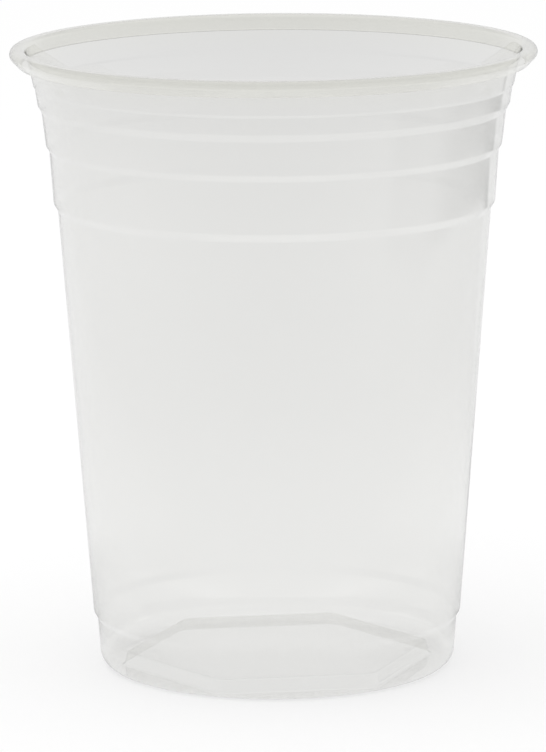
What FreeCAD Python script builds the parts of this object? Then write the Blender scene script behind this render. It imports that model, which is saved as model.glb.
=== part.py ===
import FreeCAD, Part
import math
import os
import Sketcher

# Clear disposable drinking cup, thermoformed in one piece from PET sheet.
# Frame: +Z up, the foot stands on Z = 0 and the axis of the cup is the Z axis. Millimetres.
# The wall is one sheet of even gauge. From the table up it has a flat foot with a raised
# six-sided panel, a rounded heel, a base band, a tapered body, three bands that step out
# towards the top, a flared neck and a rim that is rolled outwards and down.

os.makedirs("parts", exist_ok=True)
doc = FreeCAD.newDocument("DisposableCup")

# Driving dimensions in millimetres and degrees. Drafts are measured from the vertical. The foot
# and base band are built up from the table, and the rim, neck and bands down from the top: a
# drop is the distance of a ledge's lower edge below the top. The tapered body joins the two.
DIMENSIONS = [
    ("cup_height", 117.0),
    ("rim_radius", 49.0),
    ("base_radius", 33.3),
    ("wall", 0.35),
    ("heel_round", 2.8),
    ("base_draft", 3.8),
    ("base_ledge_height", 9.2),
    ("base_ledge_rise", 1.3),
    ("base_ledge_depth", 0.75),
    ("lower_ledge_drop", 30.1),
    ("lower_ledge_rise", 1.4),
    ("lower_ledge_depth", 0.8),
    ("lower_band_draft", 3.9),
    ("middle_ledge_drop", 19.0),
    ("middle_ledge_rise", 1.2),
    ("middle_ledge_depth", 0.65),
    ("middle_band_draft", 6.5),
    ("upper_ledge_drop", 11.6),
    ("upper_ledge_rise", 1.4),
    ("upper_ledge_depth", 0.75),
    ("upper_band_draft", 8.5),
    ("neck_ledge_drop", 7.1),
    ("neck_ledge_rise", 0.5),
    ("neck_ledge_depth", 0.3),
    ("neck_draft", 15.5),
    ("ledge_round", 0.5),
    ("curl_width", 3.06),
    ("curl_height", 3.1),
    ("curl_shoulder_round", 1.0),
    ("curl_hem_round", 0.55),
    ("curl_tuck", 1.85),
    ("curl_hem", 0.5),
    ("panel_inset", 3.3),
    ("panel_corner_round", 3.0),
    ("panel_rise", 2.6),
    ("panel_draft", 12.0),
    ("panel_turn", 8.0),
    ("panel_edge_round", 0.8),
    ("panel_foot_round", 0.4),
]

# The ledges above the body, from the lowest up, each with the draft of the band that stands on it.
LEDGES = [
    ("lower_ledge", "lower_band_draft"),
    ("middle_ledge", "middle_band_draft"),
    ("upper_ledge", "upper_band_draft"),
    ("neck_ledge", "neck_draft"),
]

PANEL_SIDES = 6

# How far an edge may lie from the place where a fillet looks for it.
EDGE_REACH = 0.01

sheet = doc.addObject("Spreadsheet::Sheet", "Sheet")
for row, (alias, value) in enumerate(DIMENSIONS, start=1):
    sheet.set("A%d" % row, alias)
    sheet.set("B%d" % row, str(value))
    sheet.setAlias("B%d" % row, alias)
doc.recompute()


def size(alias):
    return float(sheet.get(alias))


def slope(alias):
    return math.tan(math.radians(size(alias)))


def point(x, y):
    return FreeCAD.Vector(x, y, 0.0)


def new_sketch(body, name, role):
    sketch = body.newObject("Sketcher::SketchObject", name)
    plane = [item for item in body.Origin.OriginFeatures if item.Role == role][0]
    sketch.AttachmentSupport = [(plane, "")]
    sketch.MapMode = "FlatFace"
    return sketch


def add_line(sketch, start, end, construction=False):
    return sketch.addGeometry(Part.LineSegment(point(*start), point(*end)), construction)


def add_arc(sketch, centre, radius, first, last):
    circle = Part.Circle(point(*centre), FreeCAD.Vector(0, 0, 1), radius)
    return sketch.addGeometry(Part.ArcOfCircle(circle, math.radians(first), math.radians(last)))


def fix(sketch, kind, *places):
    sketch.addConstraint(Sketcher.Constraint(kind, *places))


def measure(sketch, kind, places, value, formula):
    index = sketch.addConstraint(Sketcher.Constraint(kind, *places, value))
    sketch.setExpression("Constraints[%d]" % index, formula)


def join(sketch, first, second):
    fix(sketch, "Coincident", first, 2, second, 1)


def curl_centres():
    """Centres of the inner shoulder, the outer shoulder and the hem of the rolled rim."""
    shoulder = size("curl_shoulder_round")
    height = size("cup_height") - shoulder
    hem_height = size("cup_height") - size("curl_height") + size("curl_hem_round")
    return [
        (size("rim_radius") - size("curl_width") + shoulder, height),
        (size("rim_radius") - shoulder, height),
        (size("rim_radius") - size("curl_tuck"), hem_height),
    ]


def ledge_heights(ledge):
    """Heights of the lower and upper edges of a ledge above the body."""
    lower = size("cup_height") - size(ledge + "_drop")
    return lower, lower + size(ledge + "_rise")


def neck_corner():
    """The foot of the neck on the outside, one wall out from the line that the roll runs into."""
    centre = curl_centres()[0]
    height = ledge_heights(LEDGES[-1][0])[1]
    reach = size("curl_shoulder_round") / math.cos(math.radians(size("neck_draft")))
    inside = centre[0] - reach - (centre[1] - height) * slope("neck_draft")
    return (inside + size("wall"), height)


def outside_corners():
    """Corners of the outside of the wall, from the axis to the foot of the neck."""
    foot = size("base_ledge_height")
    foot_radius = size("base_radius") + foot * slope("base_draft")
    base_top = (foot_radius + size("base_ledge_depth"), foot + size("base_ledge_rise"))
    base = [(0.0, 0.0), (size("base_radius"), 0.0), (foot_radius, foot), base_top]
    bands = [neck_corner()]
    for number in range(len(LEDGES) - 1, -1, -1):
        ledge = LEDGES[number][0]
        lower = ledge_heights(ledge)[0]
        radius = bands[0][0] - size(ledge + "_depth")
        bands.insert(0, (radius, lower))
        if number > 0:
            below, draft = LEDGES[number - 1]
            upper = ledge_heights(below)[1]
            bands.insert(0, (radius - (lower - upper) * slope(draft), upper))
    return base + bands


def lean(sketch, line, draft):
    """A line leans out from the vertical by a draft of the sheet."""
    measure(sketch, "Angle", (line,), math.radians(90.0 - size(draft)), "90 deg - Sheet.%s * 1 deg" % draft)


def draw_step(sketch, step, ledge):
    """A ledge goes out by its depth and up by its rise."""
    for kind, name in (("DistanceX", ledge + "_depth"), ("DistanceY", ledge + "_rise")):
        measure(sketch, kind, (step, 1, step, 2), size(name), "Sheet.%s" % name)


def draw_outside(sketch, corners):
    """The outside of the wall: the base from the table up, the bands from the rim down."""
    lines = [add_line(sketch, start, end) for start, end in zip(corners, corners[1:])]
    for lower, upper in zip(lines, lines[1:]):
        join(sketch, lower, upper)
    foot, base_band, base_step, body = lines[:4]
    fix(sketch, "Coincident", foot, 1, -1, 1)
    fix(sketch, "Horizontal", foot)
    measure(sketch, "DistanceX", (-1, 1, foot, 2), size("base_radius"), "Sheet.base_radius")
    lean(sketch, base_band, "base_draft")
    measure(sketch, "DistanceY", (-1, 1, base_band, 2), size("base_ledge_height"), "Sheet.base_ledge_height")
    draw_step(sketch, base_step, "base_ledge")
    band = body
    for number, (ledge, draft) in enumerate(LEDGES):
        step = lines[4 + 2 * number]
        measure(sketch, "DistanceY", (-1, 1, band, 2), ledge_heights(ledge)[0],
                "Sheet.cup_height - Sheet.%s_drop" % ledge)
        draw_step(sketch, step, ledge)
        if step != lines[-1]:
            band = lines[5 + 2 * number]
            lean(sketch, band, draft)
    return lines


def inside_corners(corners):
    """Corners of the inside: each one wall further in, and the floor one wall up."""
    wall = size("wall")
    floor_edge = (size("base_radius") - wall + wall * slope("base_draft"), wall)
    return [(0.0, wall), floor_edge] + [(radius - wall, height) for radius, height in corners[2:]]


def draw_inside(sketch, places, outside):
    """The inside of the wall, one wall in from the outside, and the sheet's end at the axis."""
    wall = size("wall")
    lines = [add_line(sketch, start, end) for start, end in zip(places, places[1:])]
    for lower, upper in zip(lines, lines[1:]):
        join(sketch, lower, upper)
    fix(sketch, "PointOnObject", lines[0], 1, -2)
    fix(sketch, "Horizontal", lines[0])
    measure(sketch, "DistanceY", (-1, 1, lines[0], 1), wall, "Sheet.wall")
    fix(sketch, "Parallel", lines[1], outside[1])
    for inner, outer in zip(lines[1:], outside[1:]):
        fix(sketch, "Horizontal", inner, 2, outer, 2)
        measure(sketch, "DistanceX", (inner, 2, outer, 2), wall, "Sheet.wall")
    axis = add_line(sketch, places[0], (0.0, 0.0))
    fix(sketch, "Coincident", axis, 1, lines[0], 1)
    fix(sketch, "Coincident", axis, 2, outside[0], 1)
    return lines


def under_angle(centres):
    """Direction in which the underside of the roll faces, as an angle in degrees."""
    across = centres[2][0] - centres[1][0]
    down = centres[2][1] - centres[1][1]
    difference = size("curl_shoulder_round") - size("curl_hem_round")
    turn = math.acos(difference / math.hypot(across, down))
    return math.degrees(math.atan2(down, across) + turn)


def along(centre, radius, angle):
    direction = math.radians(angle)
    return (centre[0] + radius * math.cos(direction), centre[1] + radius * math.sin(direction))


def draw_curl_side(sketch, centres, shoulder, hem_round, neck_foot):
    """One face of the rolled sheet, from the neck over the top to the tucked hem."""
    under = under_angle(centres)
    neck_angle = 180.0 - size("neck_draft")
    neck_top = along(centres[0], shoulder, neck_angle)
    hem_start = along(centres[2], hem_round, -90.0)
    hem_end = (hem_start[0] - size("curl_hem"), hem_start[1])
    neck = add_line(sketch, neck_foot, neck_top)
    inner = add_arc(sketch, centres[0], shoulder, 90.0, neck_angle)
    top = add_line(sketch, along(centres[0], shoulder, 90.0), along(centres[1], shoulder, 90.0))
    outer = add_arc(sketch, centres[1], shoulder, under, 90.0)
    under_line = add_line(sketch, along(centres[1], shoulder, under), along(centres[2], hem_round, under))
    tuck = add_arc(sketch, centres[2], hem_round, -90.0, under)
    hem = add_line(sketch, hem_start, hem_end)
    fix(sketch, "Tangent", neck, 2, inner, 2)
    fix(sketch, "Tangent", inner, 1, top, 1)
    fix(sketch, "Tangent", top, 2, outer, 2)
    fix(sketch, "Tangent", outer, 1, under_line, 1)
    fix(sketch, "Tangent", under_line, 2, tuck, 2)
    fix(sketch, "Tangent", tuck, 1, hem, 1)
    fix(sketch, "Horizontal", hem)
    return {"neck": neck, "inner": inner, "outer": outer, "tuck": tuck, "hem": hem}


def draw_curl(sketch, corners, outside, inside):
    """The rolled rim: two faces about the same three centres, one wall apart."""
    wall = size("wall")
    shoulder = size("curl_shoulder_round")
    hem_round = size("curl_hem_round")
    neck_foot = (corners[-1][0] - wall, corners[-1][1])
    centres = curl_centres()
    seen = draw_curl_side(sketch, centres, shoulder, hem_round, neck_foot)
    hidden = draw_curl_side(sketch, centres, shoulder - wall, hem_round - wall, corners[-1])
    join(sketch, inside[-1], seen["neck"])
    join(sketch, outside[-1], hidden["neck"])
    lean(sketch, seen["neck"], "neck_draft")
    for name in ("inner", "outer", "tuck"):
        fix(sketch, "Coincident", hidden[name], 3, seen[name], 3)
    for name, radius, alias in (("inner", shoulder, "curl_shoulder_round"),
                                ("outer", shoulder, "curl_shoulder_round"),
                                ("tuck", hem_round, "curl_hem_round")):
        measure(sketch, "Radius", (seen[name],), radius, "Sheet.%s" % alias)
        measure(sketch, "Radius", (hidden[name],), radius - wall, "Sheet.%s - Sheet.wall" % alias)
    for name, centre in (("inner", centres[0]), ("outer", centres[1])):
        measure(sketch, "DistanceY", (-1, 1, seen[name], 3), centre[1],
                "Sheet.cup_height - Sheet.curl_shoulder_round")
    measure(sketch, "DistanceX", (-1, 1, seen["inner"], 3), centres[0][0],
            "Sheet.rim_radius - Sheet.curl_width + Sheet.curl_shoulder_round")
    measure(sketch, "DistanceX", (-1, 1, seen["outer"], 3), centres[1][0],
            "Sheet.rim_radius - Sheet.curl_shoulder_round")
    measure(sketch, "DistanceX", (-1, 1, seen["tuck"], 3), centres[2][0],
            "Sheet.rim_radius - Sheet.curl_tuck")
    measure(sketch, "DistanceY", (-1, 1, seen["tuck"], 3), centres[2][1],
            "Sheet.cup_height - Sheet.curl_height + Sheet.curl_hem_round")
    measure(sketch, "DistanceX", (seen["hem"], 2, seen["tuck"], 3), size("curl_hem"), "Sheet.curl_hem")
    hem_x = centres[2][0] - size("curl_hem")
    hem_y = centres[2][1] - hem_round
    end = add_line(sketch, (hem_x, hem_y), (hem_x, hem_y + wall))
    fix(sketch, "Coincident", end, 1, seen["hem"], 2)
    fix(sketch, "Coincident", end, 2, hidden["hem"], 2)
    fix(sketch, "Vertical", end)


def draw_wall(body):
    sketch = new_sketch(body, "WallSection", "XZ_Plane")
    corners = outside_corners()
    outside = draw_outside(sketch, corners)
    inside = draw_inside(sketch, inside_corners(corners), outside)
    draw_curl(sketch, corners, outside, inside)
    return sketch


def ring_edges(shape, places):
    """Names of the edges that run round the axis at the given radii and heights."""
    names = []
    for number, edge in enumerate(shape.Edges, start=1):
        if not isinstance(edge.Curve, Part.Circle):
            continue
        for radius, height in places:
            near_radius = abs(edge.Curve.Radius - radius) < EDGE_REACH
            if near_radius and abs(edge.Curve.Center.z - height) < EDGE_REACH:
                names.append("Edge%d" % number)
    return names


def panel_edges(shape, radius, low, high):
    """Names of the edges inside a radius whose ends lie between two heights."""
    names = []
    for number, edge in enumerate(shape.Edges, start=1):
        reach = max(math.hypot(vertex.X, vertex.Y) for vertex in edge.Vertexes)
        heights = [vertex.Z for vertex in edge.Vertexes]
        inside = reach < radius + EDGE_REACH
        if inside and min(heights) > low - EDGE_REACH and max(heights) < high + EDGE_REACH:
            names.append("Edge%d" % number)
    return names


def corner_edges(shape, low, high):
    """Names of the slanting edges at the panel's corners, each from one height to the other."""
    names = []
    for number, edge in enumerate(shape.Edges, start=1):
        heights = sorted(vertex.Z for vertex in edge.Vertexes)
        if abs(heights[0] - low) < EDGE_REACH and abs(heights[-1] - high) < EDGE_REACH:
            names.append("Edge%d" % number)
    return names


def add_fillet(body, name, base, edges, radius, formula):
    fillet = body.newObject("PartDesign::Fillet", name)
    fillet.Base = (base, edges)
    fillet.Radius = radius
    fillet.setExpression("Radius", formula)
    body.Tip = fillet
    doc.recompute()
    return fillet


def panel_radius():
    """Radius of the circle on which the corners of the panel lie."""
    return size("base_radius") - size("panel_inset")


def draw_panel(body, name, corner_radius, formula):
    """The regular outline of the raised panel, with all corners on one circle."""
    sketch = new_sketch(body, name, "XY_Plane")
    turn = size("panel_turn")
    circle = sketch.addGeometry(Part.Circle(point(0, 0), FreeCAD.Vector(0, 0, 1), corner_radius), True)
    fix(sketch, "Coincident", circle, 3, -1, 1)
    measure(sketch, "Radius", (circle,), corner_radius, formula)
    corners = [along((0, 0), corner_radius, turn + 360.0 * side / PANEL_SIDES) for side in range(PANEL_SIDES)]
    sides = [add_line(sketch, corners[side - 1], corners[side]) for side in range(PANEL_SIDES)]
    for side in range(PANEL_SIDES):
        join(sketch, sides[side - 1], sides[side])
        fix(sketch, "PointOnObject", sides[side], 2, circle)
    for side in range(1, PANEL_SIDES):
        fix(sketch, "Equal", sides[0], sides[side])
    spoke = add_line(sketch, (0, 0), corners[0], construction=True)
    fix(sketch, "Coincident", spoke, 1, -1, 1)
    fix(sketch, "Coincident", spoke, 2, sides[0], 2)
    measure(sketch, "Angle", (spoke,), math.radians(turn), "Sheet.panel_turn * 1 deg")
    return sketch


def raise_panel(body):
    """The six-sided panel in the foot: a drafted boss with the same form cut out below it."""
    wall = size("wall")
    rise = size("panel_rise")
    outer_formula = "Sheet.base_radius - Sheet.panel_inset"
    outer = draw_panel(body, "PanelTop", panel_radius(), outer_formula)
    boss = body.newObject("PartDesign::Pad", "PanelBoss")
    boss.Profile = outer
    boss.Length = rise + wall
    boss.setExpression("Length", "Sheet.panel_rise + Sheet.wall")
    boss.TaperAngle = -size("panel_draft")
    boss.setExpression("TaperAngle", "-Sheet.panel_draft * 1 deg")
    body.Tip = boss
    doc.recompute()
    inner_radius = panel_radius() - wall / math.cos(math.pi / PANEL_SIDES)
    inner_formula = outer_formula + " - Sheet.wall / cos(180 deg / %d)" % PANEL_SIDES
    inner = draw_panel(body, "PanelUnder", inner_radius, inner_formula)
    hollow = body.newObject("PartDesign::Pocket", "PanelHollow")
    hollow.Profile = inner
    hollow.Reversed = True
    hollow.Length = rise
    hollow.setExpression("Length", "Sheet.panel_rise")
    hollow.TaperAngle = -size("panel_draft")
    hollow.setExpression("TaperAngle", "-Sheet.panel_draft * 1 deg")
    body.Tip = hollow
    doc.recompute()
    return hollow


def round_panel(body, base):
    """Rounds of the panel, one wall smaller on one face of the sheet than on the other."""
    wall = size("wall")
    rise = size("panel_rise")
    reach = panel_radius()
    current = add_fillet(body, "PanelCornersTop", base, corner_edges(base.Shape, wall, rise + wall),
                         size("panel_corner_round"), "Sheet.panel_corner_round")
    current = add_fillet(body, "PanelCornersUnder", current, corner_edges(current.Shape, 0.0, rise),
                         size("panel_corner_round") - wall, "Sheet.panel_corner_round - Sheet.wall")
    rounds = [
        ("PanelEdgeTop", rise + wall, size("panel_edge_round"), "Sheet.panel_edge_round"),
        ("PanelEdgeUnder", rise, size("panel_edge_round") - wall, "Sheet.panel_edge_round - Sheet.wall"),
        ("PanelFootTop", wall, size("panel_foot_round"), "Sheet.panel_foot_round"),
        ("PanelFootUnder", 0.0, size("panel_foot_round") + wall, "Sheet.panel_foot_round + Sheet.wall"),
    ]
    for name, height, radius, formula in rounds:
        edges = panel_edges(current.Shape, reach, height, height)
        current = add_fillet(body, name, current, edges, radius, formula)
    return current


def make_cup():
    body = doc.addObject("PartDesign::Body", "Cup")
    body.Label = "cup"
    section = draw_wall(body)
    turned = body.newObject("PartDesign::Revolution", "Wall")
    turned.Profile = section
    turned.ReferenceAxis = (section, ["V_Axis"])
    turned.Angle = 360.0
    body.Tip = turned
    doc.recompute()
    outer = outside_corners()
    inner = inside_corners(outer)
    rounded = outer[2:] + inner[2:]
    current = add_fillet(body, "LedgeRounds", turned, ring_edges(turned.Shape, rounded),
                         size("ledge_round"), "Sheet.ledge_round")
    current = add_fillet(body, "HeelOutside", current, ring_edges(current.Shape, outer[1:2]),
                         size("heel_round"), "Sheet.heel_round")
    current = add_fillet(body, "HeelInside", current, ring_edges(current.Shape, inner[1:2]),
                         size("heel_round") - size("wall"), "Sheet.heel_round - Sheet.wall")
    hollow = raise_panel(body)
    round_panel(body, hollow)
    return body


def check_document():
    for item in doc.Objects:
        if "Invalid" in item.State or "Error" in item.State:
            raise RuntimeError("%s failed: %s" % (item.Name, item.State))


def check_piece(piece):
    if piece.Shape.isNull() or not piece.Shape.isValid():
        raise RuntimeError("%s has no valid shape" % piece.Label)
    if len(piece.Shape.Solids) != 1:
        raise RuntimeError("%s is not one solid" % piece.Label)


cup = make_cup()
doc.recompute()
check_document()
check_piece(cup)
cup.Shape.exportStep("parts/%s.step" % cup.Label)
print("%s: volume %.1f mm3" % (cup.Label, cup.Shape.Volume))
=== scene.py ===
"""Clear disposable cup: the thermoformed sheet, its finish, the floor, the light and the camera."""
import math
from collections import namedtuple

import bpy
from bpy.props import FloatProperty, FloatVectorProperty, IntProperty, PointerProperty
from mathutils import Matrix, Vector


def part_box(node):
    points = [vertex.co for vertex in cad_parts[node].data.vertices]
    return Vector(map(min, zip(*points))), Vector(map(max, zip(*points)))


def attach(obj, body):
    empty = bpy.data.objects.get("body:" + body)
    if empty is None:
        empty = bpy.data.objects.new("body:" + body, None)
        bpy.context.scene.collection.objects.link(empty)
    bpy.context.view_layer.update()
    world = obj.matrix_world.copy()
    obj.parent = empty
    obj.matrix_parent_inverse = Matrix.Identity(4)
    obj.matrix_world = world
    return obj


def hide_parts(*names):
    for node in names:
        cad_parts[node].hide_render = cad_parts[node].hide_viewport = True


bl_info = {
    "name": "Clear disposable cup",
    "version": (1, 0, 0),
    "blender": (4, 5, 0),
    "location": "3D View > Sidebar > Cup",
    "description": "Makes a clear thermoformed cup with a rolled rim and its product photograph stage",
    "category": "Object",
}

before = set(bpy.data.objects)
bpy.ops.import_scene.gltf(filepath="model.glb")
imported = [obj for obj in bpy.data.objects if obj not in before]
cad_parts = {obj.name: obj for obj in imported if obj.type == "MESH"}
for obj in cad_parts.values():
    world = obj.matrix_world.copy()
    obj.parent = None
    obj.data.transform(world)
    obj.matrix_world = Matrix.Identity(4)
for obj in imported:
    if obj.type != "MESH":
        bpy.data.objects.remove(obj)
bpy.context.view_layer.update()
CUP_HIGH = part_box("cup")[1]

MM = 0.001

# The section of the sheet, in millimetres and degrees. A ledge's drop is from the cup's top to its lower
# edge, and its draft is that of the band that stands on it. The lowest ledge comes first.
Ledge = namedtuple("Ledge", "drop rise depth draft")
LEDGES = (
    Ledge(30.1, 1.4, 0.8, 3.9),
    Ledge(19.0, 1.2, 0.65, 6.5),
    Ledge(11.6, 1.4, 0.75, 8.5),
    Ledge(7.1, 0.5, 0.3, 15.5),
)
BASE_BAND = {"draft": 3.8, "ledge_height": 9.2, "ledge_rise": 1.3, "ledge_depth": 0.75}
CURL_SHOULDER = 1.0
CURL_HEM_ROUND = 0.55
CURL_TUCK = 1.85
CURL_HEM = 0.5
CURL_HEM_EDGE = 0.03  # a last narrow strip, which keeps the hem's thin end out of the shading beside it
PANEL_DRAFT = 12.0
PANEL_EDGE_ROUND = 0.8
PANEL_FOOT_ROUND = 0.4
PANEL_RINGS = (0.3, 0.6, 0.85)  # rows of vertices across the panel, as shares of its reach
PANEL_CORNER_LIMIT = 0.9  # the most that a corner's round may be of a ring's reach
ARC_STEP = math.radians(9.0)
WELD = 0.002 * MM

# Where the sheet counts as rolled, and where the waves of its surface show, in millimetres.
ROLLED_BELOW_TOP = 3.0
WAVES_ABOVE_FOOT = 6.0
WAVES_RISE = 12.0
WAVES_FADE_TO_TOP = 8.0
WAVE_SCALE = (24.0, 22.0, 1.0)
WAVE_STRENGTH = 0.3
WAVE_DEPTH = 0.06 * MM

# The floor and the room. A step is (start, end, low, high): what changes from low to high, and where.
# Distances are in metres from the cup's axis, and bearings are 0 behind the cup and 90 degrees on its right.
FLOOR_REACH = 12.0
FLOOR_GLOW = 0.7
# Painted light on the floor, as the gloss and the clear sheet see it, by distance from the cup's axis: a
# painted shadow under the foot, then a painted pool of light round the cup that falls off further away.
PAINTED_FLOOR_LIGHT = (
    (0.0, 0.86), (0.03, 0.85), (0.045, 0.9), (0.06, 0.93), (0.15, 0.93), (0.25, 0.92),
    (0.43, 0.93), (0.6, 0.90), (0.7, 0.87), (0.84, 0.81), (1.0, 0.80),
)
ROOM_GREYS = ((0.0, 0.835), (0.25, 0.82), (0.5, 0.5), (1.0, 0.8))
# ROOM_FALL darkens toward the front: in the world, as the gloss sees it, and as painted shade on the floor in
# the gloss. OPEN_FLOOR is how far from the cup that painted shade sets in.
ROOM_FALL = (-1.0, 0.85, 0.47, 1.0)
OPEN_FLOOR = (0.07, 0.25, 0.0, 1.0)
# A painted dark reflection: where the floor is painted darker on the right, at the back, for the gloss of the
# near wall.
DARK_BEARINGS = (
    (math.radians(34), math.radians(39), 0.0, 0.56),
    (math.radians(78), math.radians(100), 1.0, 0.42),
    (math.radians(117), math.radians(126), 1.0, 0.0),
)
DARK_START = (math.radians(45), math.radians(100), 0.4, 0.25)
DARK_END = (math.radians(65), math.radians(95), 0.47, 0.38)
DARK_START_STEP = (-0.012, 0.02, 0.2, 1.0)
DARK_END_STEP = (-0.06, 0.1, 1.0, 0.0)
DARK_NEAR_STEP = (0.12, 0.24, 0.0, 1.0)
FAR_WALL_DEPTH = 3.0  # light through this many faces comes from the far wall
# Painted shade on the floor close beside the cup, as the gloss shows it.
FLANK_SIDE = (0.45, 0.9, 0.0, 0.2)
FLANK_RINGS = ((0.035, 0.05, 0.0, 1.0), (0.085, 0.115, 1.0, 0.0))
# Painted light under the cup: its back half is painted brighter.
UNDER_CUP_BACK = (0.0, 0.012, 0.0, 0.07)
UNDER_CUP_EDGE = (0.034, 0.05, 1.0, 0.0)

SOFTBOX = {"place": (-0.25, -0.15, 1.1), "aim": (0.0, 0.0, 0.05), "width": 0.9, "height": 0.9, "power": 2.4}
SENSOR_HEIGHT = 24.0
CLIP_START = 0.01
CLIP_END = 60.0


def linear(hex_colour):
    """A colour for a shader from an sRGB hex value."""
    channels = [int(hex_colour[place:place + 2], 16) / 255 for place in (1, 3, 5)]
    return [c / 12.92 if c <= 0.04045 else ((c + 0.055) / 1.055) ** 2.4 for c in channels] + [1.0]


def add_node(tree, kind, settings=None, **links):
    """A node of that kind. settings go to its properties, and links to its sockets by name or number."""
    node = tree.nodes.new(kind)
    for name, value in (settings or {}).items():
        setattr(node, name, value)
    for name, value in links.items():
        if name.startswith("in_"):
            socket = node.inputs[int(name[3:])]
        else:
            socket = node.inputs[name.replace("_", " ")]
        if isinstance(value, bpy.types.NodeSocket):
            tree.links.new(value, socket)
        else:
            socket.default_value = value
    return node


def math_node(tree, operation, *values):
    """The result of one Math node."""
    named = {"in_%d" % number: value for number, value in enumerate(values)}
    return add_node(tree, "ShaderNodeMath", {"operation": operation}, **named).outputs[0]


def product(tree, factors):
    """All the factors multiplied."""
    result = factors[0]
    for factor in factors[1:]:
        result = math_node(tree, "MULTIPLY", result, factor)
    return result


def blend(tree, factor, low, high):
    """A number that goes from low to high with the factor."""
    return add_node(tree, "ShaderNodeMix", {"data_type": "FLOAT"}, Factor=factor, in_2=low,
                    in_3=high).outputs[0]


def even_step(tree, value, start, end, low, high):
    """An even change from low to high while the value goes from start to end."""
    return add_node(tree, "ShaderNodeMapRange", Value=value, From_Min=start, From_Max=end, To_Min=low,
                    To_Max=high).outputs[0]


def soft_step(tree, value, start, end, low, high):
    """A smooth change from low to high while the value goes from start to end."""
    return add_node(tree, "ShaderNodeMapRange", {"interpolation_type": "SMOOTHSTEP"}, Value=value,
                    From_Min=start, From_Max=end, To_Min=low, To_Max=high).outputs[0]


def fill_ramp(ramp, stops):
    """Greys of a colour ramp, as (position, linear value)."""
    marks = ramp.color_ramp.elements
    while len(marks) < len(stops):
        marks.new(1.0)
    for mark, (position, value) in zip(marks, stops):
        mark.position = position
        mark.color = (value, value, value, 1.0)


def emptied(block):
    """The node tree of a new material or world, with nothing in it."""
    block.use_nodes = True
    block.node_tree.nodes.clear()
    return block.node_tree


class CupSizes(bpy.types.PropertyGroup):
    """Sizes of the thermoformed sheet that the frame's box doesn't give."""

    wall: FloatProperty(name="Wall", description="Gauge of the sheet", default=0.35 * MM, unit="LENGTH")
    drawn_wall: FloatProperty(
        name="Drawn wall", description="Gap between the two faces that bend the light",
        default=0.025 * MM, unit="LENGTH")
    base_radius: FloatProperty(
        name="Base radius", description="Radius of the foot, before its heel is rounded",
        default=33.3 * MM, unit="LENGTH")
    heel_round: FloatProperty(
        name="Heel round", description="Round of the heel on the outside", default=2.8 * MM, unit="LENGTH")
    ledge_round: FloatProperty(
        name="Ledge round", description="Round of the edges of each ledge", default=0.5 * MM, unit="LENGTH")
    curl_width: FloatProperty(
        name="Roll width", description="Width of the rolled rim, seen from above",
        default=3.06 * MM, unit="LENGTH")
    curl_height: FloatProperty(
        name="Roll height", description="Height of the rolled rim", default=3.1 * MM, unit="LENGTH")
    panel_inset: FloatProperty(
        name="Panel inset", description="From the foot's radius to the corners of the raised panel",
        default=3.3 * MM, unit="LENGTH")
    panel_rise: FloatProperty(
        name="Panel rise", description="Height of the raised panel in the foot",
        default=2.6 * MM, unit="LENGTH")
    panel_corner: FloatProperty(
        name="Panel corner", description="Round of the panel's corners", default=3.0 * MM, unit="LENGTH")
    panel_turn: FloatProperty(
        name="Panel turn", description="Angle from +X to the panel's first corner",
        default=math.radians(8.0), unit="ROTATION")
    panel_sides: IntProperty(name="Panel sides", description="Number of sides of the panel", default=6)
    segments: IntProperty(name="Segments", description="Divisions of the wall round its axis", default=324)


class CupFinish(bpy.types.PropertyGroup):
    """Look of the clear plastic."""

    tint: FloatVectorProperty(
        name="Sheet tint", description="What one wall lets through", subtype="COLOR", size=4,
        min=0.0, max=1.0, default=linear("#FAFAF9"))
    rim_tint: FloatVectorProperty(
        name="Rim tint", description="What one wall of the rolled rim lets through",
        subtype="COLOR", size=4, min=0.0, max=1.0, default=linear("#FBFBF8"))
    ior: FloatProperty(name="IOR", description="Index of refraction of PET", default=1.57)
    roughness: FloatProperty(name="Roughness", description="Roughness of the moulded gloss", default=0.03)


class StageSettings(bpy.types.PropertyGroup):
    """The floor, the studio and the camera."""

    white: FloatVectorProperty(
        name="Background", description="Colour of the floor and backdrop as the camera sees them",
        subtype="COLOR", size=4, min=0.0, max=1.0, default=linear("#FFFFFF"))
    camera_distance: FloatProperty(
        name="Camera distance", description="From the axis of the cup, level", default=1.02575,
        unit="LENGTH")
    camera_height: FloatProperty(
        name="Camera height", description="Height of the lens above the floor", default=0.25357,
        unit="LENGTH")
    camera_side: FloatProperty(
        name="Camera side", description="Offset of the lens to the right", default=-0.48 * MM,
        unit="LENGTH")
    aim_height: FloatProperty(
        name="Aim height", description="Height on the axis that the camera looks at",
        default=54.59 * MM, unit="LENGTH")
    field_of_view: FloatProperty(
        name="Field of view", description="Angle of view from top to bottom of the frame",
        default=math.radians(7.727), unit="ROTATION")
    roll: FloatProperty(
        name="Roll", description="Turn of the camera about its line of sight",
        default=math.radians(-0.384), unit="ROTATION")


def slope(degrees):
    """What a run at that draft gains in radius for each millimetre of height."""
    return math.tan(math.radians(degrees))


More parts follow.
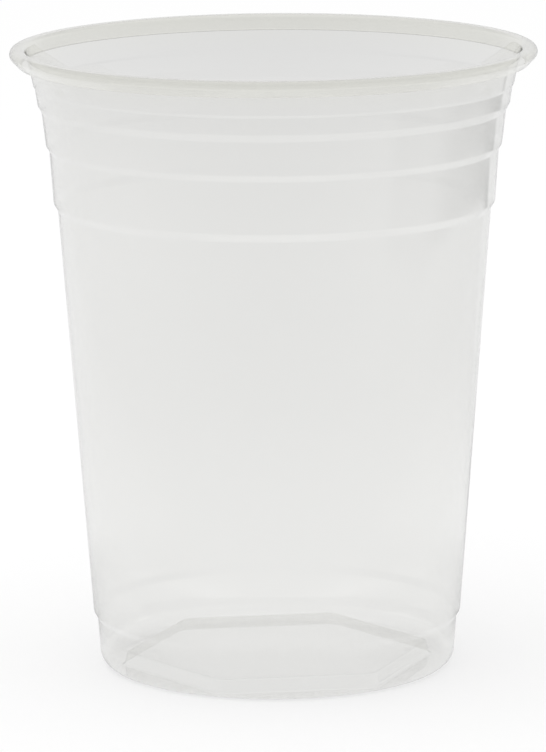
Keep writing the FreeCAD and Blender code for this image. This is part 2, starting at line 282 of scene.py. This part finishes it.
def ledge_corners(sizes):
    """Corners of the sheet's inside face from the base band to the neck, as (radius, height) in mm."""
    height = CUP_HIGH.z / MM
    rim = CUP_HIGH.x / MM
    draft = LEDGES[-1].draft
    neck = height - LEDGES[-1].drop + LEDGES[-1].rise
    centre = rim - sizes.curl_width / MM + CURL_SHOULDER
    reach = CURL_SHOULDER / math.cos(math.radians(draft))
    radius = centre - reach - (height - CURL_SHOULDER - neck) * slope(draft)
    corners = [(radius, neck)]
    downwards = LEDGES[::-1]
    for upper, lower in zip(downwards, downwards[1:] + (None,)):
        radius -= upper.depth
        foot = height - upper.drop
        corners.insert(0, (radius, foot))
        if lower:
            top = height - lower.drop + lower.rise
            radius -= (foot - top) * slope(lower.draft)
            corners.insert(0, (radius, top))
    base = (sizes.base_radius - sizes.wall) / MM
    foot = base + BASE_BAND["ledge_height"] * slope(BASE_BAND["draft"])
    return [
        (foot, BASE_BAND["ledge_height"]),
        (foot + BASE_BAND["ledge_depth"], BASE_BAND["ledge_height"] + BASE_BAND["ledge_rise"]),
    ] + corners


def arc(centre, radius, first, last):
    """Points of an arc with the way that the face looks at each, from one angle to another."""
    count = max(2, math.ceil(abs(last - first) / ARC_STEP))
    angles = [first + (last - first) * step / count for step in range(count + 1)]
    turned = math.pi if last > first else 0.0
    return [(centre[0] + radius * math.cos(a), centre[1] + radius * math.sin(a), a + turned) for a in angles]


def rounded(before, corner, after, radius):
    """Points of the round of one corner between two straight runs, with the way that each looks."""
    way_in = math.atan2(corner[1] - before[1], corner[0] - before[0])
    way_out = math.atan2(after[1] - corner[1], after[0] - corner[0])
    turn = math.remainder(way_out - way_in, 2 * math.pi)
    reach = radius * math.tan(abs(turn) / 2)
    start = (corner[0] - reach * math.cos(way_in), corner[1] - reach * math.sin(way_in))
    side = math.copysign(math.pi / 2, turn)
    centre = (start[0] + radius * math.cos(way_in + side), start[1] + radius * math.sin(way_in + side))
    return arc(centre, radius, way_in - side, way_out - side)


def roll_points(sizes):
    """The rolled rim from the neck's top over the shoulders to the tucked hem, in mm."""
    height = CUP_HIGH.z / MM
    rim = CUP_HIGH.x / MM
    down = -math.pi / 2
    inner = (rim - sizes.curl_width / MM + CURL_SHOULDER, height - CURL_SHOULDER)
    outer = (rim - CURL_SHOULDER, height - CURL_SHOULDER)
    hem = (rim - CURL_TUCK, height - sizes.curl_height / MM + CURL_HEM_ROUND)
    neck_angle = math.pi - math.radians(LEDGES[-1].draft)
    gap = math.dist(outer, hem)
    under = math.atan2(hem[1] - outer[1], hem[0] - outer[0])
    under += math.acos((CURL_SHOULDER - CURL_HEM_ROUND) / gap)
    return (
        arc(inner, CURL_SHOULDER, neck_angle, math.pi / 2)
        + arc(outer, CURL_SHOULDER, math.pi / 2, under)
        + arc(hem, CURL_HEM_ROUND, under, down)
        + [(hem[0] - reach, hem[1] - CURL_HEM_ROUND, down) for reach in (CURL_HEM - CURL_HEM_EDGE, CURL_HEM)]
    )


def section_points(sizes):
    """The sheet's inside face from the axis to the hem: (radius, height, facing, panel share) in mm."""
    wall = sizes.wall / MM
    rise = sizes.panel_rise / MM
    reach = (sizes.base_radius - sizes.panel_inset) / MM * math.cos(math.pi / sizes.panel_sides)
    panel_foot = (reach - wall * slope(PANEL_DRAFT), wall)
    panel_edge = (reach - (wall + rise) * slope(PANEL_DRAFT), wall + rise)
    heel = (sizes.base_radius / MM - wall + wall * slope(BASE_BAND["draft"]), wall)
    corners = ledge_corners(sizes)
    up = math.pi / 2
    axis = (0.0, panel_edge[1])
    points = [axis + (up, 0.0)]
    points += [(panel_edge[0] * share, panel_edge[1], up, share) for share in PANEL_RINGS]
    points += [p + (1.0,) for p in rounded(axis, panel_edge, panel_foot, PANEL_EDGE_ROUND)]
    points += [p + (1.0,) for p in rounded(panel_edge, panel_foot, heel, PANEL_FOOT_ROUND)]
    points += [p + (0.0,) for p in rounded(panel_foot, heel, corners[0], sizes.heel_round / MM - wall)]
    roll = roll_points(sizes)
    path = [heel] + corners + [roll[0][:2]]
    for before, corner, after in zip(path, path[1:], path[2:]):
        points += [p + (0.0,) for p in rounded(before, corner, after, sizes.ledge_round / MM)]
    return points + [p + (0.0,) for p in roll]


def set_back(points, depths):
    """The same points, each moved by its depth against the way that the face looks."""
    return [(r - depth * math.cos(facing), z - depth * math.sin(facing), facing, share)
            for (r, z, facing, share), depth in zip(points, depths)]


def share_between(value, start, end):
    """How far the value has gone from start to end, from 0 to 1."""
    return min(1.0, max(0.0, (value - start) / (end - start)))


def section_mesh(sizes):
    """A chain of vertices up the outside of the sheet and back down its inside, for the lathe to turn.

    The face that is seen from outside keeps the solid's place, and the other stands one drawn wall behind
    it: at the true gauge the bends would hold the light and turn into black lines, where the real sheet
    stays clear. On the wall the seen face is the sheet's outside, and on the rolled rim its upper side."""
    inside = section_points(sizes)
    neck_foot = ledge_corners(sizes)[-1][1]
    top = CUP_HIGH.z / MM

    def rolled(point):
        return share_between(point[1], neck_foot, top - ROLLED_BELOW_TOP)

    def waved(point):
        return min(share_between(point[1], WAVES_ABOVE_FOOT, WAVES_ABOVE_FOOT + WAVES_RISE),
                   (top - point[1]) / WAVES_FADE_TO_TOP)

    drawn = sizes.drawn_wall / MM
    depths = [(sizes.wall / MM - drawn) * (1.0 - rolled(point)) for point in inside]
    chain = set_back(inside, [depth + drawn for depth in depths]) + set_back(inside, depths)[::-1]
    along, lengths = 0.0, []
    for number, point in enumerate(chain):
        along += math.dist(point[:2], chain[number - 1][:2]) if number else 0.0
        lengths.append(along * MM)
    mesh = bpy.data.meshes.new("cup_section")
    mesh.from_pydata([(point[0] * MM, 0.0, point[1] * MM) for point in chain],
                     [(n, n + 1) for n in range(len(chain) - 1)], [])
    values = {
        "panel_share": [point[3] for point in chain],
        "drawn": [waved(point) for point in chain],
        "along": lengths,
        "rolled": [rolled(point) for point in chain],
    }
    for name, numbers in values.items():
        mesh.attributes.new(name, "FLOAT", "POINT").data.foreach_set("value", numbers)
    return mesh


def lathe_tree():
    """Geometry Nodes that turn the section round Z and give the foot its many-sided panel."""
    tree = bpy.data.node_groups.new("cup_lathe", "GeometryNodeTree")
    tree.is_modifier = True
    face = tree.interface
    face.new_socket("Geometry", in_out="INPUT", socket_type="NodeSocketGeometry")
    for name, kind in (("Segments", "NodeSocketInt"), ("Panel Sides", "NodeSocketInt"),
                       ("Panel Turn", "NodeSocketFloat"), ("Panel Corner", "NodeSocketFloat"),
                       ("Material", "NodeSocketMaterial")):
        face.new_socket(name, in_out="INPUT", socket_type=kind)
    face.new_socket("Geometry", in_out="OUTPUT", socket_type="NodeSocketGeometry")
    given = add_node(tree, "NodeGroupInput").outputs

    def maths(operation, *values):
        return math_node(tree, operation, *values)

    # A grid with one column of vertices for each segment and one row for each point of the section.
    count = add_node(tree, "GeometryNodeAttributeDomainSize", in_0=given["Geometry"]).outputs["Point Count"]
    columns = maths("ADD", given["Segments"], 1.0)
    grid = add_node(tree, "GeometryNodeMeshGrid", Size_X=1.0, Size_Y=1.0, Vertices_X=columns,
                    Vertices_Y=count)
    index = add_node(tree, "GeometryNodeInputIndex").outputs[0]
    column = maths("FLOOR", maths("DIVIDE", index, count))
    row = maths("SUBTRACT", index, maths("MULTIPLY", column, count))

    def sampled(kind, value):
        return add_node(tree, "GeometryNodeSampleIndex", {"data_type": kind}, Geometry=given["Geometry"],
                        Value=value, Index=row).outputs[0]

    def stored(name):
        attribute = add_node(tree, "GeometryNodeInputNamedAttribute", {"data_type": "FLOAT"}, Name=name)
        return sampled("FLOAT", attribute.outputs[0])

    place = sampled("FLOAT_VECTOR", add_node(tree, "GeometryNodeInputPosition").outputs[0])
    split = add_node(tree, "ShaderNodeSeparateXYZ", in_0=place).outputs
    radius, height = split["X"], split["Z"]
    angle = maths("MULTIPLY", maths("DIVIDE", column, given["Segments"]), 2 * math.pi)

    # The panel's outline: half of one side from its middle to its corner, folded over all sides.
    half_side = maths("DIVIDE", math.pi, given["Panel Sides"])
    turned = maths("SUBTRACT", angle, maths("SUBTRACT", given["Panel Turn"], half_side))
    side = maths("MULTIPLY", half_side, 2.0)
    wrapped = maths("FLOORED_MODULO", maths("ADD", turned, half_side), side)
    fold = maths("ABSOLUTE", maths("SUBTRACT", wrapped, half_side))
    corner = maths("MINIMUM", given["Panel Corner"], maths("MULTIPLY", radius, PANEL_CORNER_LIMIT))
    inner = maths("SUBTRACT", radius, corner)
    tangent = maths("ARCTAN2", maths("MULTIPLY", inner, maths("TANGENT", half_side)), radius)
    centre = maths("DIVIDE", inner, maths("COSINE", half_side))
    away = maths("SUBTRACT", half_side, fold)
    across = maths("MULTIPLY", centre, maths("SINE", away))
    deep = maths("SQRT", maths("SUBTRACT", maths("MULTIPLY", corner, corner),
                               maths("MULTIPLY", across, across)))
    round_reach = maths("ADD", maths("MULTIPLY", centre, maths("COSINE", away)), deep)
    flat_reach = maths("DIVIDE", radius, maths("COSINE", fold))
    panel_reach = blend(tree, maths("GREATER_THAN", fold, tangent), flat_reach, round_reach)
    reach = blend(tree, stored("panel_share"), radius, panel_reach)

    position = add_node(tree, "ShaderNodeCombineXYZ", X=maths("MULTIPLY", reach, maths("COSINE", angle)),
                        Y=maths("MULTIPLY", reach, maths("SINE", angle)), Z=height).outputs[0]
    around = add_node(tree, "ShaderNodeSeparateXYZ", in_0=grid.outputs["UV Map"]).outputs["X"]
    capture = add_node(tree, "GeometryNodeCaptureAttribute", Geometry=grid.outputs["Mesh"])
    for name in ("along", "rolled", "drawn"):
        capture.capture_items.new("FLOAT", name)
        tree.links.new(stored(name), capture.inputs[name])
    moved = add_node(tree, "GeometryNodeSetPosition", Geometry=capture.outputs["Geometry"],
                     Position=position).outputs[0]
    uv = add_node(tree, "ShaderNodeCombineXYZ", X=around, Y=capture.outputs["along"]).outputs[0]
    mapped = add_node(tree, "GeometryNodeStoreNamedAttribute", {"data_type": "FLOAT2", "domain": "CORNER"},
                      Geometry=moved, Name="UVMap", Value=uv).outputs[0]
    for name in ("rolled", "drawn"):
        mapped = add_node(tree, "GeometryNodeStoreNamedAttribute", {"data_type": "FLOAT", "domain": "POINT"},
                          Geometry=mapped, Name=name, Value=capture.outputs[name]).outputs[0]
    closed = add_node(tree, "GeometryNodeMergeByDistance", Geometry=mapped, Distance=WELD).outputs[0]
    smooth = add_node(tree, "GeometryNodeSetShadeSmooth", Geometry=closed).outputs[0]
    whole = add_node(tree, "GeometryNodeRealizeInstances", Geometry=smooth).outputs[0]
    coated = add_node(tree, "GeometryNodeSetMaterial", Geometry=whole, Material=given["Material"]).outputs[0]
    add_node(tree, "NodeGroupOutput", in_0=coated)
    return tree


def clear_pet(finish):
    """Clear PET sheet, vacuum formed: colourless gloss, faintly olive where it is rolled."""
    material = bpy.data.materials.new("clear_pet_thermoformed")
    tree = emptied(material)
    rolled = add_node(tree, "ShaderNodeAttribute", {"attribute_name": "rolled"}).outputs["Fac"]
    tint = add_node(tree, "ShaderNodeMix", {"data_type": "RGBA"}, Factor=rolled, in_6=finish.tint,
                    in_7=finish.rim_tint)
    # Slow waves that the sheet keeps from being drawn down into the mould.
    uv = add_node(tree, "ShaderNodeUVMap", {"uv_map": "UVMap"}).outputs[0]
    spread = add_node(tree, "ShaderNodeMapping", Vector=uv, Scale=WAVE_SCALE)
    waves = add_node(tree, "ShaderNodeTexNoise", {"noise_dimensions": "2D"}, Vector=spread.outputs[0],
                     Scale=1.0, Detail=1.0)
    drawn = add_node(tree, "ShaderNodeAttribute", {"attribute_name": "drawn"}).outputs["Fac"]
    deep = math_node(tree, "MULTIPLY", waves.outputs["Fac"], drawn)
    bump = add_node(tree, "ShaderNodeBump", Strength=WAVE_STRENGTH, Distance=WAVE_DEPTH, Height=deep)
    shader = add_node(tree, "ShaderNodeBsdfPrincipled", Base_Color=tint.outputs[2],
                      Roughness=finish.roughness, IOR=finish.ior, Transmission_Weight=1.0,
                      Normal=bump.outputs[0])
    add_node(tree, "ShaderNodeOutputMaterial", Surface=shader.outputs[0])
    return material


class CUP_OT_make_cup(bpy.types.Operator):
    """Make the cup: one thermoformed sheet, turned round its axis, in place of the frame's solid"""

    bl_idname = "cup.make_cup"
    bl_label = "Make the cup"

    def execute(self, context):
        sizes = context.scene.cup_sizes
        holder = bpy.data.objects.new("cup_section", section_mesh(sizes))
        context.scene.collection.objects.link(holder)
        tree = lathe_tree()
        lathe = holder.modifiers.new("Lathe", "NODES")
        lathe.node_group = tree
        values = {
            "Segments": sizes.segments,
            "Panel Sides": sizes.panel_sides,
            "Panel Turn": sizes.panel_turn,
            "Panel Corner": sizes.panel_corner,
            "Material": clear_pet(context.scene.cup_finish),
        }
        for socket in tree.interface.items_tree:
            if socket.in_out == "INPUT" and socket.name in values:
                lathe[socket.identifier] = values[socket.name]
        graph = context.evaluated_depsgraph_get()
        mesh = bpy.data.meshes.new_from_object(holder.evaluated_get(graph))
        bpy.data.objects.remove(holder)
        mesh.name = "clear_cup"
        if mesh.materials[0] is None:
            mesh.materials.pop(index=0)
        cup = bpy.data.objects.new("clear_cup", mesh)
        context.scene.collection.objects.link(cup)
        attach(cup, "root")
        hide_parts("cup")
        return {"FINISHED"}


def mirrored(tree, path):
    """1 for light that the gloss has thrown back at least once, and 0 for light that came straight through."""
    return math_node(tree, "MINIMUM", path["Glossy Depth"], 1.0)


def painted_dark_reflection(tree, path, split, far):
    """A painted reflection: how much darker the floor is painted on the right, at the back, as the gloss of
    the near wall shows it, standing in for a dark right-hand side of the room.
    """
    bearing = math_node(tree, "ARCTAN2", split["X"], split["Y"])
    past_start = math_node(tree, "SUBTRACT", far, even_step(tree, bearing, *DARK_START))
    past_end = math_node(tree, "SUBTRACT", far, even_step(tree, bearing, *DARK_END))
    near_wall = math_node(tree, "LESS_THAN", path["Transmission Depth"], FAR_WALL_DEPTH)
    around = [soft_step(tree, bearing, *step) for step in DARK_BEARINGS]
    return product(tree, around + [
        soft_step(tree, past_start, *DARK_START_STEP), soft_step(tree, far, *DARK_NEAR_STEP),
        soft_step(tree, past_end, *DARK_END_STEP), near_wall])


def painted_flank_shade(tree, split, far):
    """Painted shade: what the floor close beside the cup loses in the gloss."""
    beside = math_node(tree, "DIVIDE", math_node(tree, "ABSOLUTE", split["X"]), far)
    rings = [soft_step(tree, far, *step) for step in FLANK_RINGS]
    return product(tree, [soft_step(tree, beside, *FLANK_SIDE)] + rings)


def floor_material(stage):
    """White sweep. The camera sees it white with the cup's soft shadow. To the clear plastic and the gloss it
    glows with painted light instead: the clear plastic lets it through a little greyer, with a painted pool of
    light round the cup, a painted shadow under the foot and a painted brighter back half there, and the gloss
    shows how that painted light falls off away from the cup, with painted shade beside the cup and a painted
    dark reflection on the right."""
    material = bpy.data.materials.new("studio_sweep_matte_white")
    tree = emptied(material)
    path = add_node(tree, "ShaderNodeLightPath").outputs
    matte = add_node(tree, "ShaderNodeBsdfDiffuse", Color=linear("#F8F8F8")).outputs[0]
    white = add_node(tree, "ShaderNodeEmission", Color=stage.white, Strength=1.0).outputs[0]
    lit = add_node(tree, "ShaderNodeMixShader", Fac=FLOOR_GLOW, in_1=matte, in_2=white).outputs[0]
    place = add_node(tree, "ShaderNodeTexCoord").outputs["Object"]
    far = add_node(tree, "ShaderNodeVectorMath", {"operation": "LENGTH"}, in_0=place).outputs["Value"]
    # Painted light of the floor by distance from the cup's axis: a painted shadow under the foot and a painted
    # pool of light round the cup.
    ramp = add_node(tree, "ShaderNodeValToRGB", Fac=far)
    fill_ramp(ramp, PAINTED_FLOOR_LIGHT)
    # Painted shade in the gloss: the floor is painted darker toward the room, most on the right at the back.
    split = add_node(tree, "ShaderNodeSeparateXYZ", in_0=place).outputs
    behind = math_node(tree, "DIVIDE", split["Y"], far)
    kept = blend(tree, soft_step(tree, far, *OPEN_FLOOR), 1.0, even_step(tree, behind, *ROOM_FALL))
    kept = math_node(tree, "SUBTRACT", kept, painted_dark_reflection(tree, path, split, far))
    kept = math_node(tree, "SUBTRACT", kept, painted_flank_shade(tree, split, far))
    kept = blend(tree, mirrored(tree, path), 1.0, kept)
    # Painted light: right under the cup the back half is painted the brighter one.
    back_half = soft_step(tree, split["Y"], *UNDER_CUP_BACK)
    painted_lift = math_node(tree, "MULTIPLY_ADD", back_half, soft_step(tree, far, *UNDER_CUP_EDGE), kept)
    shade = add_node(tree, "ShaderNodeVectorMath", {"operation": "SCALE"}, in_0=ramp.outputs[0], Scale=painted_lift)
    # The painted floor light, as an emission that the gloss and the clear sheet see in place of the lit matte
    # floor.
    seen = add_node(tree, "ShaderNodeEmission", Color=shade.outputs[0], Strength=1.0).outputs[0]
    clear = math_node(tree, "MAXIMUM", path["Is Glossy Ray"], path["Is Transmission Ray"])
    top = add_node(tree, "ShaderNodeMixShader", Fac=clear, in_1=lit, in_2=seen).outputs[0]
    under = add_node(tree, "ShaderNodeBsdfTransparent").outputs[0]
    back = add_node(tree, "ShaderNodeNewGeometry").outputs["Backfacing"]
    sheet = add_node(tree, "ShaderNodeMixShader", Fac=back, in_1=top, in_2=under).outputs[0]
    add_node(tree, "ShaderNodeOutputMaterial", Surface=sheet)
    return material


def add_floor(stage):
    """The sweep under the cup, far wider than the frame."""
    mesh = bpy.data.meshes.new("studio_floor")
    corners = ((-1, -1), (1, -1), (1, 1), (-1, 1))
    mesh.from_pydata([(x * FLOOR_REACH, y * FLOOR_REACH, 0) for x, y in corners], [], [(0, 1, 2, 3)])
    mesh.materials.append(floor_material(stage))
    floor = bpy.data.objects.new("studio_floor", mesh)
    bpy.context.scene.collection.objects.link(floor)


def add_world(stage):
    """The studio round the floor: white to the camera, and greyer away from the horizon to the gloss."""
    world = bpy.data.worlds.new("studio_surround")
    bpy.context.scene.world = world
    tree = emptied(world)
    way = add_node(tree, "ShaderNodeTexCoord").outputs["Generated"]
    split = add_node(tree, "ShaderNodeSeparateXYZ", in_0=way).outputs
    path = add_node(tree, "ShaderNodeLightPath").outputs
    thrown = mirrored(tree, path)
    ramp = add_node(tree, "ShaderNodeValToRGB", Fac=math_node(tree, "MULTIPLY", split["Z"], thrown))
    fill_ramp(ramp, ROOM_GREYS)
    front = blend(tree, thrown, 1.0, even_step(tree, split["Y"], *ROOM_FALL))
    studio = add_node(tree, "ShaderNodeBackground", Color=ramp.outputs[0], Strength=front).outputs[0]
    white = add_node(tree, "ShaderNodeBackground", Color=stage.white, Strength=1.0).outputs[0]
    plain = math_node(tree, "MAXIMUM", path["Is Camera Ray"], path["Is Diffuse Ray"])
    either = add_node(tree, "ShaderNodeMixShader", Fac=plain, in_1=studio, in_2=white).outputs[0]
    add_node(tree, "ShaderNodeOutputWorld", Surface=either)


def add_softbox(name, place, aim, width, height, power):
    """A soft lamp that lights the floor and stays out of the gloss and the clear sheet."""
    light = bpy.data.lights.new(name, "AREA")
    light.shape = "RECTANGLE"
    light.size = width
    light.size_y = height
    light.energy = power
    lamp = bpy.data.objects.new(name, light)
    lamp.location = place
    lamp.rotation_euler = (Vector(aim) - Vector(place)).to_track_quat("-Z", "Y").to_euler()
    lamp.visible_glossy = False
    lamp.visible_transmission = False
    bpy.context.scene.collection.objects.link(lamp)


def add_camera(stage):
    """The camera of the photograph."""
    data = bpy.data.cameras.new("product_camera")
    data.sensor_fit = "VERTICAL"
    data.sensor_height = SENSOR_HEIGHT
    data.lens = data.sensor_height / 2 / math.tan(stage.field_of_view / 2)
    data.clip_start = CLIP_START
    data.clip_end = CLIP_END
    camera = bpy.data.objects.new("product_camera", data)
    place = Vector((stage.camera_side, -stage.camera_distance, stage.camera_height))
    sight = Vector((stage.camera_side, 0.0, stage.aim_height)) - place
    camera.location = place
    camera.rotation_euler = sight.to_track_quat("-Z", "Y").to_euler()
    camera.rotation_euler.rotate_axis("Z", stage.roll)
    bpy.context.scene.collection.objects.link(camera)
    bpy.context.scene.camera = camera


class CUP_OT_make_stage(bpy.types.Operator):
    """Make the white floor, the studio light and the camera of the photograph"""

    bl_idname = "cup.make_stage"
    bl_label = "Make the stage"

    def execute(self, context):
        stage = context.scene.cup_stage
        context.scene.view_settings.view_transform = "Standard"
        add_floor(stage)
        add_world(stage)
        add_softbox("softbox_overhead", **SOFTBOX)
        add_camera(stage)
        return {"FINISHED"}


class CUP_PT_panel(bpy.types.Panel):
    """Sizes, finish and stage of the cup"""

    bl_label = "Clear disposable cup"
    bl_idname = "CUP_PT_panel"
    bl_space_type = "VIEW_3D"
    bl_region_type = "UI"
    bl_category = "Cup"

    def draw(self, context):
        for group, operator in ((context.scene.cup_sizes, "cup.make_cup"), (context.scene.cup_finish, None),
                                (context.scene.cup_stage, "cup.make_stage")):
            box = self.layout.box()
            for name in group.__annotations__:
                box.prop(group, name)
            if operator:
                box.operator(operator)


CLASSES = (CupSizes, CupFinish, StageSettings, CUP_OT_make_cup, CUP_OT_make_stage, CUP_PT_panel)


def register():
    for item in CLASSES:
        bpy.utils.register_class(item)
    bpy.types.Scene.cup_sizes = PointerProperty(type=CupSizes)
    bpy.types.Scene.cup_finish = PointerProperty(type=CupFinish)
    bpy.types.Scene.cup_stage = PointerProperty(type=StageSettings)


def unregister():
    del bpy.types.Scene.cup_stage
    del bpy.types.Scene.cup_finish
    del bpy.types.Scene.cup_sizes
    for item in reversed(CLASSES):
        bpy.utils.unregister_class(item)


def main():
    register()
    bpy.ops.cup.make_cup()
    bpy.ops.cup.make_stage()


if __name__ == "__main__":
    main()
